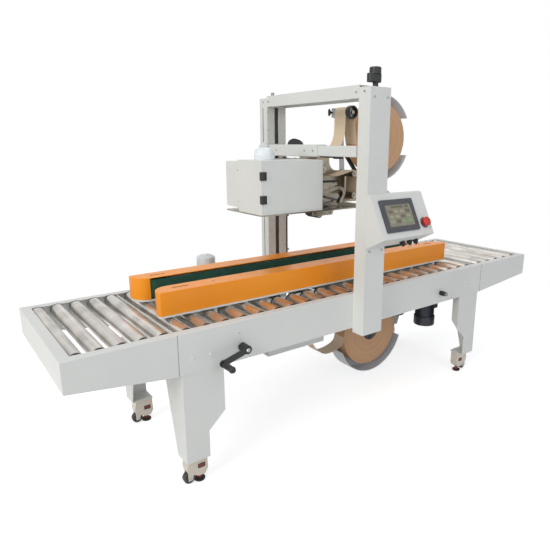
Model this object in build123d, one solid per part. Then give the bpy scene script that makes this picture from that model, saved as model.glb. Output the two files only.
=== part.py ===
from build123d import *
import os
from math import asin, atan2, cos, degrees, radians, sin

os.makedirs("parts", exist_ok=True)

# Case sealer for gummed paper tape. X runs with the cartons, Y across, Z up from the floor.
# Everything is laid out from the infeed end and the belt line, and moved to the middle at the end.

# Roller tables
infeed_length = 360.0
main_length = 1720.0
outfeed_length = 430.0
bed_width = 640.0
table_height = 605.0
sheet = 3.0
infeed_end_depth = 104.0
main_depth = 150.0
outfeed_end_depth = 112.0
flange_width = 35.0

# Rollers
roller_radius = 25.0
roller_rise = 2.0
roller_end_gap = 3.0
spindle_radius = 6.0
cap_length = 8.0
infeed_roller_count = 5
infeed_pitch = 69.0
infeed_first = 55.0
main_roller_count = 22
main_pitch = 76.0
main_first = 413.0
outfeed_roller_count = 5
outfeed_pitch = 80.0
outfeed_first_gap = 38.0

# Legs and levelling casters
leg_height_over_floor = 112.0
leg_top_width = 158.0
leg_bottom_width = 91.0
leg_step_high = 277.0
leg_step_low = 215.0
leg_overlap = 70.0
leg_side_top = 170.0
leg_side_bottom = 78.0
leg_gusset_depth = 38.0
leg_inset = 11.0
leg_member_inset = 80.0
caster_inset_x = 50.0
caster_inset_y = 52.0
caster_wheel_radius = 23.0
caster_wheel_offset = 26.0
caster_pad_offset = 16.0
caster_lift = 3.0
pad_radius = 20.0

# Portal
column_x = 1151.0
column_width = 110.0
column_depth = 64.0
column_wall = 4.0
column_bottom = 436.0
column_top = 1434.0
column_slot = 24.0
crossbeam_height = 50.0
crossbeam_top = 1443.0
lift_screw_radius = 8.0

# Side belt drives
belt_gap = 140.0
cover_width = 85.0
cover_left = 370.0
cover_right = 1980.0
cover_bottom = 620.0
cover_top = 708.0
cover_sheet = 3.0
cover_return = 57.0
pulley_radius = 36.0
belt_thickness = 4.0
belt_height = 72.0
base_thickness = 8.0
width_screw_radius = 10.0
width_screw_z = 507.0
running_gap = 0.05
motor_radius = 52.0
motor_bottom = 252.0

# Tape head, tape and rolls
tape_width = 76.0
tape_thickness = 1.0
tape_gap = 0.3
head_left = 813.0
head_right = 1126.0
head_near = 140.0
head_step = 35.0
head_far = 145.0
head_bottom = 946.0
head_top = 1157.0
head_plate_right = 1420.0
beam_bottom = 1170.0
beam_size = 45.0
beam_gap = 6.0
roll_hub_radius = 38.0
upper_roll_radius = 163.0
upper_guard_radius = 201.0
upper_roll_x = 1573.0
upper_roll_z = 1251.0
lower_roll_radius = 184.0
lower_guard_radius = 221.0
lower_roll_x = 1548.0
lower_roll_z = 271.0
lower_guard_shift_x = 14.0
lower_guard_shift_z = -6.0

# Controls
box_width = 302.0
box_reach = 100.0
bottle_radius = 46.0
bottle_x = 818.0
bottle_low = 473.0
bottle_shoulder = 672.0
bottle_play = 3.0

# Worked out once from the values above
total_length = infeed_length + main_length + outfeed_length
half_bed = bed_width / 2
main_end = infeed_length + main_length
outfeed_first = main_end + outfeed_first_gap
roller_z = table_height + roller_rise - roller_radius
tube_end = half_bed - flange_width - roller_end_gap
spindle_end = half_bed - sheet
column_centre_x = column_x + column_width / 2
column_centre_y = half_bed + column_depth / 2
pulley_y = belt_gap / 2 + belt_thickness + pulley_radius
front_screw_x = main_first + 2.5 * main_pitch
rear_screw_x = main_first + 17.5 * main_pitch
drive_pulley_x = main_first + 19.5 * main_pitch
idler_pulley_x = main_first + 0.5 * main_pitch
bottle_gap = 4.0
back_reach = half_bed + bottle_gap + 2 * bottle_radius
front_reach = half_bed + column_depth + box_reach
line_y = (front_reach - back_reach) / 2
middle = Location((-total_length / 2, line_y, 0))


def save(name, *pieces):
    """Writes one node, moved so that the origin lies under the middle of the footprint."""
    solids = []
    for piece in pieces:
        solids.extend(piece.solids())
    moved = [solid.moved(middle) for solid in solids]
    shape = moved[0] if len(moved) == 1 else Compound(children=moved)
    export_step(shape, f"parts/{name}.step")


def block(low, high):
    """A box between two corners."""
    size = [b - a for a, b in zip(low, high)]
    centre = [(a + b) / 2 for a, b in zip(low, high)]
    return Pos(*centre) * Box(*size)


def side_plate(points, y_low, y_high):
    """A plate with an outline given in X and Z, standing between two values of Y."""
    face = make_face(Polyline([(x, y_low, z) for x, z in points], close=True))
    return extrude(face, y_high - y_low, dir=(0, 1, 0))


def cross_plate(points, x_low, x_high):
    """A plate with an outline given in Y and Z, standing between two values of X."""
    face = make_face(Polyline([(x_low, y, z) for y, z in points], close=True))
    return extrude(face, x_high - x_low, dir=(1, 0, 0))


def rod_y(x, z, radius, y_low, y_high):
    """A round bar across the machine."""
    return Pos(x, (y_low + y_high) / 2, z) * Rot(90, 0, 0) * Cylinder(radius, y_high - y_low)


def rod_z(x, y, radius, z_low, z_high):
    """An upright round bar."""
    return Pos(x, y, (z_low + z_high) / 2) * Cylinder(radius, z_high - z_low)


def across(piece):
    """The same piece on the far side of the belt line."""
    return mirror(piece, Plane.XZ)


# Side panels and table rails

def table_rail(x_low, x_high, depth_low, depth_high):
    """The near rail: a folded sheet whose top flange turns in over the roller ends."""
    outline = [
        (x_low, table_height),
        (x_high, table_height),
        (x_high, table_height - depth_high),
        (x_low, table_height - depth_low),
    ]
    web = side_plate(outline, -half_bed, -half_bed + sheet)
    flange = block((x_low, -half_bed, table_height - sheet), (x_high, -half_bed + flange_width, table_height))
    rail = web + flange
    outer_edges = [
        e for e in rail.edges().filter_by(Axis.X)
        if abs(e.center().Y + half_bed) < 0.01 and abs(e.center().Z - table_height) < 0.01
    ]
    return fillet(outer_edges, sheet * 0.8)


def end_plate(x_low, x_high, depth, outer_x):
    """The folded plate that closes a table's free end, between the two rails."""
    inner = half_bed - sheet
    web = block((outer_x[0], -inner, table_height - depth), (outer_x[1], inner, table_height))
    top = block((x_low, -inner, table_height - sheet), (x_high, inner, table_height))
    corner = half_bed - flange_width
    top = top & block((x_low, -corner, 0), (x_high, corner, table_height))
    return web + top


screw_hole_radius = width_screw_radius + running_gap
main_rail = table_rail(infeed_length, main_end, main_depth, main_depth)
for screw_x in (front_screw_x, rear_screw_x):
    main_rail -= rod_y(screw_x, width_screw_z, screw_hole_radius, -half_bed - 1, -half_bed + sheet + 1)
save("near_side_panel", main_rail)

infeed_rail = table_rail(0, infeed_length, infeed_end_depth, main_depth)
infeed_end = end_plate(0, flange_width, infeed_end_depth, (0, sheet))
inner_reach = half_bed - sheet
inner_plate_low = table_height - 70.0


def inner_plate(x_low):
    """The upright plate that closes a small table where it meets the main one."""
    return block((x_low, -inner_reach, inner_plate_low), (x_low + sheet, inner_reach, table_height - sheet))


infeed_join = inner_plate(infeed_length - sheet)
save("infeed_frame", infeed_rail + across(infeed_rail) + infeed_end + infeed_join)

outfeed_rail = table_rail(main_end, total_length, main_depth, outfeed_end_depth)
outfeed_end = end_plate(
    total_length - flange_width, total_length, outfeed_end_depth, (total_length - sheet, total_length)
)
outfeed_join = inner_plate(main_end)
save("outfeed_frame", outfeed_rail + across(outfeed_rail) + outfeed_end + outfeed_join)


# Cross members under the rollers

cross_top = roller_z - roller_radius - 6
cross_height = 44.0
cross_width = 40.0
head_bay_left = main_first + 5.5 * main_pitch
head_bay_right = main_first + 9.5 * main_pitch


def cross_member(x_centre, reach):
    """A channel, open below, from panel to panel."""
    half = cross_width / 2
    outer = [(-half, 0), (half, 0), (half, -cross_height), (half - sheet, -cross_height)]
    inner = [(half - sheet, -sheet), (sheet - half, -sheet), (sheet - half, -cross_height), (-half, -cross_height)]
    points = [(x_centre + x, cross_top + z) for x, z in outer + inner]
    return side_plate(points, -reach, reach)


bay_members = [head_bay_left - cross_width / 2, head_bay_right + cross_width / 2, lower_roll_x]
leg_members = [infeed_length + leg_member_inset, main_end - leg_member_inset]
members = [cross_member(x, spindle_end) for x in bay_members]
members += [cross_member(x, spindle_end - sheet) for x in leg_members]
save("cross_members", *members)


# Rollers

def roller(x, y_low, y_high, pin_low, pin_high):
    """A tube with a dished cap at each end, on a spindle that reaches its seats."""
    length = y_high - y_low
    reach_low = y_low - pin_low
    reach_high = pin_high - y_high
    cap_radius = roller_radius - 3.0
    points = [
        (0, -reach_low),
        (spindle_radius, -reach_low),
        (spindle_radius, 0),
        (cap_radius, 0),
        (cap_radius, cap_length * 0.4),
        (roller_radius, cap_length * 0.4),
        (roller_radius, length - cap_length * 0.4),
        (cap_radius, length - cap_length * 0.4),
        (cap_radius, length),
        (spindle_radius, length),
        (spindle_radius, length + reach_high),
        (0, length + reach_high),
    ]
    profile = make_face(Polyline(points, close=True))
    solid = revolve(profile, Axis.Y)
    return Pos(x, y_low, roller_z) * solid


def full_roller(x):
    """A roller from panel to panel."""
    return roller(x, -tube_end, tube_end, -spindle_end, spindle_end)


head_side_y = 148.0
main_places = [main_first + i * main_pitch for i in range(main_roller_count)]
short_places = [x for x in main_places if head_bay_left < x < head_bay_right]
full_places = [infeed_first + i * infeed_pitch for i in range(infeed_roller_count)]
full_places += [x for x in main_places if x not in short_places]
full_places += [outfeed_first + i * outfeed_pitch for i in range(outfeed_roller_count)]
save("conveyor_rollers", *[full_roller(x) for x in full_places])
near_short = [
    roller(x, -tube_end, -head_side_y - roller_end_gap, -spindle_end, -head_side_y) for x in short_places
]
save("short_rollers", *near_short, *[across(r) for r in near_short])


# Legs: folded sheet, wide at the top, with a side wall that tapers to the foot plate

leg_top = table_height - main_depth + leg_overlap
leg_left_x = infeed_length + leg_inset


def near_leg():
    """The leg at the near infeed corner. Its front lies behind the panel."""
    front_y = -half_bed + sheet
    x = leg_left_x
    bottom = leg_height_over_floor
    front = side_plate(
        [
            (x, leg_top),
            (x + leg_top_width, leg_top),
            (x + leg_top_width, leg_step_high),
            (x + leg_bottom_width, leg_step_low),
            (x + leg_bottom_width, bottom),
            (x, bottom),
        ],
        front_y,
        front_y + sheet,
    )
    side_outline = Polyline(
        [
            (x, front_y, leg_top - leg_overlap),
            (x, front_y + leg_side_top, leg_top - leg_overlap),
            (x, front_y + leg_side_bottom, bottom),
            (x, front_y, bottom),
        ],
        close=True,
    )
    side = extrude(make_face(side_outline), sheet, dir=(1, 0, 0))
    gusset = cross_plate(
        [
            (front_y, leg_top),
            (front_y + leg_gusset_depth, leg_top - 20),
            (front_y + leg_gusset_depth, leg_step_high + 40),
            (front_y, leg_step_high),
        ],
        x + leg_top_width - sheet,
        x + leg_top_width,
    )
    foot = block((x, front_y, bottom), (x + leg_bottom_width, front_y + leg_side_bottom, bottom + sheet * 1.5))
    return front + side + gusset + foot


left_leg = near_leg()
end_mirror = Plane.YZ.offset((infeed_length + main_end) / 2)
right_leg = mirror(left_leg, end_mirror)
save("infeed_legs", left_leg, across(left_leg))
save("outfeed_legs", right_leg, across(right_leg))


# Levelling casters, parked on their pads

def caster_parts():
    """Housing, wheel and pad of the caster under the near infeed leg."""
    x = leg_left_x + caster_inset_x
    y = -half_bed + caster_inset_y
    top = leg_height_over_floor
    wheel_x = x - caster_wheel_offset
    pad_x = x + caster_pad_offset
    wheel_z = caster_lift + caster_wheel_radius
    outline = [
        (pad_x - 46, top),
        (pad_x + 24, top),
        (pad_x + 26, 50),
        (pad_x + 14, 30),
        (pad_x - 12, 30),
        (wheel_x - 10, 52),
        (wheel_x - 14, 74),
    ]
    housing = side_plate(outline, y - 22, y + 22)
    housing = fillet(housing.edges().filter_by(Axis.Y), 4.0)
    housing -= rod_y(wheel_x, wheel_z, caster_wheel_radius + 2.5, y - 13, y + 13)
    housing -= rod_z(pad_x, y, pad_radius + 1.5, 58, 82)
    for side in (-1, 1):
        low, high = sorted((y + side * 13, y + side * 18))
        cheek = side_plate(
            [
                (wheel_x - 10, 62),
                (wheel_x + 14, 62),
                (wheel_x + 8, wheel_z - 8),
                (wheel_x - 8, wheel_z - 8),
            ],
            low,
            high,
        )
        housing = housing + cheek
    wheel = rod_y(wheel_x, wheel_z, caster_wheel_radius, y - 11, y + 11)
    wheel = fillet(wheel.edges().filter_by(GeomType.CIRCLE), 3.0)
    wheel = wheel + rod_y(wheel_x, wheel_z, 4.0, y - 13, y + 13)
    pad = rod_z(pad_x, y, pad_radius, 0, 8) + rod_z(pad_x, y, 9.0, 8, 60) + rod_z(pad_x, y, pad_radius, 60, 80)
    pad = chamfer(pad.edges().filter_by(GeomType.CIRCLE).group_by(Axis.Z)[0], 1.5)
    housing -= rod_z(pad_x, y, 9.3, 20, 60)
    return housing, wheel, pad


housing, wheel, pad = caster_parts()
for name, piece in (("caster_housings", housing), ("caster_wheels", wheel), ("caster_pads", pad)):
    right = mirror(piece, end_mirror)
    save(name, piece, across(piece), right, across(right))


# Portal columns, crossbeam and lift screws

def near_column():
    """A folded box column whose slot faces the belt line, with a cap plate."""
    outer = Pos(column_centre_x, -column_centre_y) * Rectangle(column_width, column_depth)
    inner = Pos(column_centre_x, -column_centre_y) * Rectangle(
        column_width - 2 * column_wall, column_depth - 2 * column_wall
    )
    slot = Pos(column_centre_x, -half_bed - column_wall / 2) * Rectangle(column_slot, column_wall + 2)
    slot_bottom = table_height + 40.0
    slot_top = crossbeam_top - crossbeam_height - 2.0
    shell = Pos(0, 0, column_bottom) * extrude(outer - inner, column_top - column_bottom)
    shell -= Pos(0, 0, slot_bottom) * extrude(slot, slot_top - slot_bottom)
    cap = Pos(0, 0, column_top - column_wall) * extrude(inner, column_wall)
    cap -= rod_z(column_centre_x, -column_centre_y, lift_screw_radius + running_gap, column_top - 9, column_top + 1)
    foot = Pos(0, 0, column_bottom) * extrude(inner, column_wall)
    return shell + cap + foot


column = near_column()
save("near_column", column)
save("far_column", across(column))

beam_half = column_width / 2
crossbeam_bottom = crossbeam_top - crossbeam_height
crossbeam_points = [
    (-beam_half, crossbeam_bottom),
    (-beam_half, crossbeam_top),
    (beam_half, crossbeam_top),
    (beam_half, crossbeam_bottom),
    (beam_half - sheet, crossbeam_bottom),
    (beam_half - sheet, crossbeam_top - sheet),
    (sheet - beam_half, crossbeam_top - sheet),
    (sheet - beam_half, crossbeam_bottom),
]
crossbeam = side_plate([(column_centre_x + x, z) for x, z in crossbeam_points], -half_bed, half_bed)
end_flange = block(
    (column_x - 2, -half_bed, crossbeam_bottom + 1), (column_x, -half_bed + 45, crossbeam_top - 2)
)
save("top_crossbeam", crossbeam + end_flange + across(end_flange))

lift_screw = rod_z(
    column_centre_x, -column_centre_y, lift_screw_radius, column_bottom + column_wall, column_top + 30
)
save("lift_screws", lift_screw, across(lift_screw))


# Lift crank on top of the near column

crank_seat = column_top + 2.0
hub_outer = 11.0
lift_arm_z = 1468.0


def lift_crank():
    """A slim boss on the screw's end, a short thick arm and an upright grip."""
    y = -column_centre_y
    x = column_centre_x
    grip_radius = 23.0
    boss = rod_z(x, y, hub_outer, crank_seat, lift_arm_z - 10)
    arm = Pos(x - 8, y, lift_arm_z - 16) * extrude(SlotOverall(66, 32), 32)
    arm = chamfer(arm.edges().group_by(Axis.Z)[-1] + arm.edges().group_by(Axis.Z)[0], 2.0)
    grip = rod_z(x - 3, y, grip_radius, lift_arm_z + 14, lift_arm_z + 40)
    grip = fillet(grip.edges().group_by(Axis.Z)[-1], 6.0)
    bore = rod_z(x, y, lift_screw_radius + running_gap, crank_seat - 1, column_top + 30.2)
    return boss + arm + grip - bore


save("lift_crank", lift_crank())


# Side belt drives

cover_near = -(belt_gap / 2 + cover_width)
cover_inner = -belt_gap / 2 - 2.0
corner_radius = 8.0
lead_in_radius = 62.0
button_slot_length = 66.0
button_slot_x = cover_left + 102.0


def cover_plan(inset):
    """The plan of the cover, shrunk by an inset. Its inner corners are the lead-in for the carton."""
    length = cover_right - cover_left - 2 * inset
    width = cover_inner - cover_near - 2 * inset
    plan = Pos((cover_left + cover_right) / 2, (cover_near + cover_inner) / 2) * Rectangle(length, width)
    corners = plan.vertices().sort_by(Axis.Y)
    plan = fillet(corners[:2], corner_radius - inset)
    inner_corners = plan.vertices().sort_by(Axis.Y)[-2:]
    return fillet(inner_corners, lead_in_radius - inset)


def near_cover():
    """Sheet cover over the belt: closed above, outside and round both ends."""
    height = cover_top - cover_bottom
    body = Pos(0, 0, cover_bottom) * extrude(cover_plan(0), height)
    hollow = Pos(0, 0, cover_bottom - 1) * extrude(cover_plan(cover_sheet), height + 1 - cover_sheet)
    window = block(
        (cover_left + cover_return, cover_inner - 20, cover_bottom - 1),
        (cover_right - cover_return, cover_inner + 1, cover_top - cover_sheet),
    )
    cover = body - hollow - window
    top_edges = cover.edges().group_by(Axis.Z)[-1]
    cover = fillet(top_edges, 2.0)
    for slot_x in (button_slot_x, cover_left + cover_right - button_slot_x):
        slot = Pos(slot_x, -pulley_y) * SlotOverall(button_slot_length, 9)
        cover -= Pos(0, 0, cover_top - cover_sheet - 1) * extrude(slot, cover_sheet + 2)
    return cover


belt_bottom = cover_bottom + 6.0
shaft_top = roller_z - roller_radius - 12.0
belt_length = drive_pulley_x - idler_pulley_x
belt_middle_x = (drive_pulley_x + idler_pulley_x) / 2


def stadium(radius):
    """The outline of a belt run round both pulleys."""
    return Pos(belt_middle_x, -pulley_y) * SlotCenterToCenter(belt_length, 2 * radius)


def near_drive():
    """The cover, belt, frame, pulleys and gear motor of the near belt drive."""
    cover = near_cover()
    loop = stadium(pulley_radius + belt_thickness) - stadium(pulley_radius)
    belt = Pos(0, 0, belt_bottom) * extrude(loop, belt_height)
    base_low = cover_bottom - base_thickness
    base = Pos(0, 0, base_low) * extrude(cover_plan(1.0), base_thickness)
    bed = block(
        (idler_pulley_x + 60, -pulley_y - pulley_radius + 0.5, cover_bottom),
        (drive_pulley_x - 60, -pulley_y + pulley_radius - 0.5, belt_bottom + belt_height - 4),
    )
    frame = base + bed
    nut_half = 19.0
    for screw_x in (front_screw_x, rear_screw_x):
        hanger = block((screw_x - 6, -pulley_y - 20, width_screw_z), (screw_x + 6, -pulley_y + 20, base_low))
        nut = block(
            (screw_x - nut_half, -pulley_y - 20, width_screw_z - nut_half),
            (screw_x + nut_half, -pulley_y + 20, width_screw_z + nut_half),
        )
        nut = chamfer(nut.edges().filter_by(Axis.Y), 5.0)
        frame = frame + hanger + nut
        frame -= rod_y(screw_x, width_screw_z, screw_hole_radius, -pulley_y - 21, -pulley_y + 21)
    frame -= rod_z(drive_pulley_x, -pulley_y, 7.0, base_low - 1, cover_bottom + 1)
    pulleys = []
    for x, foot in ((idler_pulley_x, cover_bottom), (drive_pulley_x, shaft_top)):
        drum = rod_z(x, -pulley_y, pulley_radius - 0.3, belt_bottom, belt_bottom + belt_height)
        pulleys.append(drum + rod_z(x, -pulley_y, 6.0, foot, belt_bottom))
    return cover, belt, frame, pulleys


def near_motor():
    """An upright geared motor: finned body, gear case above it and a terminal box."""
    x = drive_pulley_x
    y = -pulley_y
    body_top = 410.0
    gear_top = 482.0
    body = rod_z(x, y, motor_radius - 4, motor_bottom + 24, body_top)
    fins = [
        Rot(0, 0, 0) * block((x - 1.5, y - motor_radius, motor_bottom + 30), (x + 1.5, y + motor_radius, body_top - 14))
        .rotate(Axis((x, y, 0), (0, 0, 1)), 15.0 * i)
        for i in range(12)
    ]
    for fin in fins:
        body = body + fin
    hood = rod_z(x, y, motor_radius, motor_bottom, motor_bottom + 24)
    hood = fillet(hood.edges().group_by(Axis.Z)[0], 8.0)
    flange = rod_z(x, y, motor_radius, body_top - 12, body_top)
    gear_plan = Pos(x + 22, y) * RectangleRounded(136, 92, 14)
    gear_case = Pos(0, 0, body_top) * extrude(gear_plan, gear_top - body_top)
    gear_case = chamfer(gear_case.edges().group_by(Axis.Z)[-1], 4.0)
    terminal = block((x + motor_radius - 10, y - 24, body_top - 74), (x + motor_radius + 34, y + 24, body_top - 14))
    terminal = fillet(terminal.edges().filter_by(Axis.Z), 5.0)
    neck = rod_z(x, y, 24.0, gear_top, shaft_top)
    return body + hood + flange + gear_case + terminal + neck


cover, belt, frame, pulleys = near_drive()
frame_low = cover_bottom - base_thickness
hanger_plates = [
    block((drive_pulley_x - 6, -pulley_y + s * 34 - 5, 482.0), (drive_pulley_x + 6, -pulley_y + s * 34 + 5, frame_low))
    for s in (-1, 1)
]
for plate in hanger_plates:
    frame = frame + plate
motor = near_motor()
near_parts = {
    "cover": [cover],
    "belt": [belt],
    "drive_frame": [frame],
    "pulleys": pulleys,
    "motor": [motor],
}
for part, pieces in near_parts.items():
    save(f"near_{part}", *pieces)
    save(f"far_{part}", *[across(p) for p in pieces])


# Width screws and the hand crank

crank_reach = 102.0
crank_angle = 196.0
front_screw = rod_y(front_screw_x, width_screw_z, width_screw_radius, -half_bed - 30, half_bed)
rear_screw = rod_y(rear_screw_x, width_screw_z, width_screw_radius, -half_bed - 38, half_bed)
save("front_width_screw", front_screw)
save("rear_width_screw", rear_screw)


def width_crank():
    """A boss on the front screw, a flat arm and a grip that points at the operator."""
    y_back = -half_bed - 4.0
    y_front = -half_bed - 36.0
    boss = rod_y(front_screw_x, width_screw_z, 16.0, y_front, y_back)
    boss -= rod_y(front_screw_x, width_screw_z, screw_hole_radius, -half_bed - 30.2, y_back + 1)
    end_x = front_screw_x + crank_reach * cos(radians(crank_angle))
    end_z = width_screw_z + crank_reach * sin(radians(crank_angle))
    bar = Box(crank_reach, 9, 20)
    middle_x = (front_screw_x + end_x) / 2
    middle_z = (width_screw_z + end_z) / 2
    arm = Pos(middle_x, y_front - 4.5, middle_z) * Rot(0, -crank_angle, 0) * bar
    arm = arm + rod_y(end_x, end_z, 13.0, y_front - 9, y_front) + rod_y(
        front_screw_x, width_screw_z, 16.0, y_front - 9, y_front
    )
    grip_profile = make_face(
        Polyline([(0, 0), (9, 0), (12, 14), (11, 44), (12.5, 58), (9, 66), (0, 68)], close=True)
    )
    grip = revolve(grip_profile, Axis.Y)
    grip = Pos(end_x, y_front - 9, end_z) * Rot(180, 0, 0) * grip
    return boss + arm + grip


save("width_crank", width_crank())


# Head carriage: beam between the columns, with a nut block in each

beam_sleeve_half = 71.0
sleeve_wall = 4.0


def carriage_beam():
    """A square tube with guide blocks that reach through the column slots to the screws."""
    y_end = half_bed - beam_gap
    low = beam_bottom
    high = beam_bottom + beam_size
    beam = block((column_x, -y_end, low), (column_x + beam_size, y_end, high))
    beam = fillet(beam.edges().filter_by(Axis.Y), 4.0)
    mid_z = (low + high) / 2
    neck_half = 6.5
    nut_depth = column_depth - 2 * column_wall - 10
    nut_y = column_centre_y - 1
    neck = block(
        (column_centre_x - neck_half, -nut_y, mid_z - 18), (column_centre_x + neck_half, -y_end + 30, mid_z + 18)
    )
    tie = block((column_x + 10, -y_end, mid_z - 18), (column_centre_x + neck_half, -y_end + 30, mid_z + 18))
    nut = block(
        (column_centre_x - 34, -nut_y - nut_depth / 2 + 2, mid_z - 30),
        (column_centre_x + 34, -nut_y + nut_depth / 2 - 2, mid_z + 30),
    )
    bore = rod_z(column_centre_x, -column_centre_y, lift_screw_radius + running_gap, mid_z - 31, mid_z + 31)
    end = neck + tie + nut
    sleeve_low = -beam_sleeve_half
    sleeve = block(
        (column_x - sleeve_wall, sleeve_low, low - sleeve_wall),
        (column_x + beam_size + sleeve_wall, y_end - 18, high + sleeve_wall),
    )
    sleeve = fillet(sleeve.edges().filter_by(Axis.Y), 5.0)
    knob_y = (sleeve_low + y_end) / 2 + 12
    knob = Pos(column_x + beam_size / 2, knob_y, high + sleeve_wall) * Cone(16, 11, 22, align=(Align.CENTER, Align.CENTER, Align.MIN))
    return (beam + sleeve + knob + end + across(end)) - bore - across(bore)


save("carriage_beam", carriage_beam())


# Head housing, with a door on its near side

wall = 3.0
door_left = head_left + 10
door_right = head_right - 6
door_low = head_bottom + 8
door_high = head_top - 10


def head_housing():
    """A sheet box, open behind the door."""
    outer = block((head_left, -head_near, head_bottom), (head_right, head_step, head_top))
    outer = fillet(outer.edges().filter_by(Axis.Z), 3.0)
    inner = block(
        (head_left + wall, -head_near + wall, head_bottom + wall), (head_right - wall, head_step - wall, head_top - wall)
    )
    doorway = block((door_left + 8, -head_near - 1, door_low + 6), (door_right - 8, -head_near + wall + 1, door_high - 6))
    return outer - inner - doorway


rear_cover = block(
    (head_left + 6, head_step, head_bottom + 14), (head_right, head_far, head_top - 8)
)
rear_cover = fillet(rear_cover.edges().filter_by(Axis.Z), 3.0)
save("head_rear_cover", rear_cover)

door_thick = 2.5
door_y = -head_near - 0.5 - door_thick
hinge_radius = 5.0
hinge_x = head_left + 4.0
hinge_y = -head_near - hinge_radius - 0.6
hinge_heights = [1036.0 - 30.0, 1036.0 + 62.0]


def head_door():
    """The sheet door with its hinge leaves."""
    panel = block((door_left, door_y, door_low), (door_right, door_y + door_thick, door_high))
    panel = fillet(panel.edges().filter_by(Axis.Y), 6.0)
    door = panel
    for z in hinge_heights:
        knuckle = rod_z(hinge_x, hinge_y, hinge_radius, z - 6, z + 6)
        knuckle -= rod_z(hinge_x, hinge_y, 2.0 + running_gap, z - 7, z + 7)
        leaf = block((hinge_x + hinge_radius + 0.8, door_y - 3.0, z - 16), (hinge_x + 30, door_y, z + 16))
        web = block((hinge_x + 3.5, hinge_y - 2.0, z - 6), (hinge_x + hinge_radius + 4, hinge_y + 1.5, z + 6))
        door = door + leaf + knuckle + web
    return door


save("head_door", head_door())


def fixed_hinges():
    """The knuckles and pins that stay on the housing."""
    hinges = []
    for z in hinge_heights:
        pin = rod_z(hinge_x, hinge_y, 2.0, z - 16, z + 16)
        for s in (-1, 1):
            low = z + 6.3 if s > 0 else z - 16
            high = z + 16 if s > 0 else z - 6.3
            knuckle = rod_z(hinge_x, hinge_y, hinge_radius, low, high)
            leaf = block((hinge_x - 3, hinge_y, low), (hinge_x + 3, -head_near, high))
            pin = pin + knuckle + leaf
        hinges.append(pin)
    return hinges


housing_box = head_housing()
for hinge in fixed_hinges():
    housing_box = housing_box + hinge
save("head_housing", housing_box)


# Tape head: bottom plate, side plate and the mechanism in the open bay

mech_y = tape_width / 2 + 6
plate_thick = 5.0
skid_low = head_bottom - 6.0
throat_left = 1118.0
throat_right = 1292.0
far_plate_right = 1500.0
window_left = 1315.0
window_low = 1100.0
window_radius = 45.0


applicator_x = 1192.0
applicator_z = 914.0
applicator_radius = 20.0
roller_half = tape_width / 2
pin_radius = 5.0


def head_plate():
    """The polished plate under the head, with a throat, and the tall plate behind the mechanism."""
    plate = block((head_left, -head_near, skid_low), (head_plate_right, head_far, head_bottom))
    plate = fillet(plate.edges().filter_by(Axis.Z), 12.0)
    throat = block((throat_left, -tape_width / 2 - 16, skid_low - 1), (throat_right, mech_y - 1, head_bottom + 1))
    plate -= throat
    lug = block(
        (applicator_x - 20, roller_half + 2, applicator_z - 12),
        (applicator_x + 20, mech_y, skid_low + 1),
    )
    lug -= rod_y(applicator_x, applicator_z, pin_radius + running_gap, roller_half, mech_y + 1)
    plate = plate + lug
    upright = side_plate(
        [
            (head_right, head_bottom),
            (far_plate_right, head_bottom),
            (far_plate_right, window_low),
            (window_left, window_low),
            (window_left, beam_bottom - 8),
            (column_x + beam_size + sleeve_wall, beam_bottom - sleeve_wall),
            (column_x - sleeve_wall, beam_bottom - sleeve_wall),
            (head_right, beam_bottom - 20),
        ],
        mech_y,
        mech_y + plate_thick,
    )
    corners = upright.edges().filter_by(Axis.Y)
    window_corner = corners.sort_by_distance((window_left, mech_y, window_low))[0]
    upright = fillet(window_corner, window_radius)
    top_corner = upright.edges().filter_by(Axis.Y).sort_by_distance((far_plate_right, mech_y, window_low))[0]
    upright = fillet(top_corner, 18.0)
    return plate + upright


save("head_plate", head_plate())

pin_reach = 3.7
guide_x = 1363.0
guide_z = 1362.0
guide_radius = 24.0
guide_pin_reach = 24.0
turn_x = 1214.0
turn_z = 1110.0
turn_radius = 16.0
end_x = 1405.0
end_z = 1086.0
end_radius = 15.0
low_x = 1404.0
low_z = 985.0
low_radius = 14.0
press_x = 1250.0
press_z = 968.0
feed_x = 1203.0
feed_low_z = 1002.0
feed_high_z = 1033.0
feed_radius = 14.0


def head_rollers():
    """The rollers that the tape runs over, each on a pin that stands on the tall plate."""
    places = [
        (applicator_x, applicator_z, applicator_radius),
        (turn_x, turn_z, turn_radius),
        (end_x, end_z, end_radius),
        (low_x, low_z, low_radius),
        (press_x, press_z, low_radius),
        (feed_x, feed_low_z, feed_radius),
        (feed_x, feed_high_z, feed_radius),
    ]
    rollers = []
    for x, z, radius in places:
        drum = rod_y(x, z, radius, -roller_half, roller_half)
        drum = chamfer(drum.edges().filter_by(GeomType.CIRCLE), 1.2)
        pin = rod_y(x, z, pin_radius, -roller_half - pin_reach, mech_y)
        rollers.append(drum + pin)
    guide = rod_y(guide_x, guide_z, guide_radius, -roller_half, roller_half)
    guide_pin = rod_y(guide_x, guide_z, 8.0, -roller_half - guide_pin_reach, mech_y + plate_thick)
    rollers.append(guide + guide_pin)
    return rollers


save("head_rollers", *head_rollers())

mechanism_near = -roller_half - pin_reach - 0.3
mechanism_sheet = 4.0
link_back = mechanism_near - mechanism_sheet - 4.0
link_thick = 6.0
link_start = (1160.0, 1009.0)
link_finish = (1301.0, 963.0)


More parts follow.
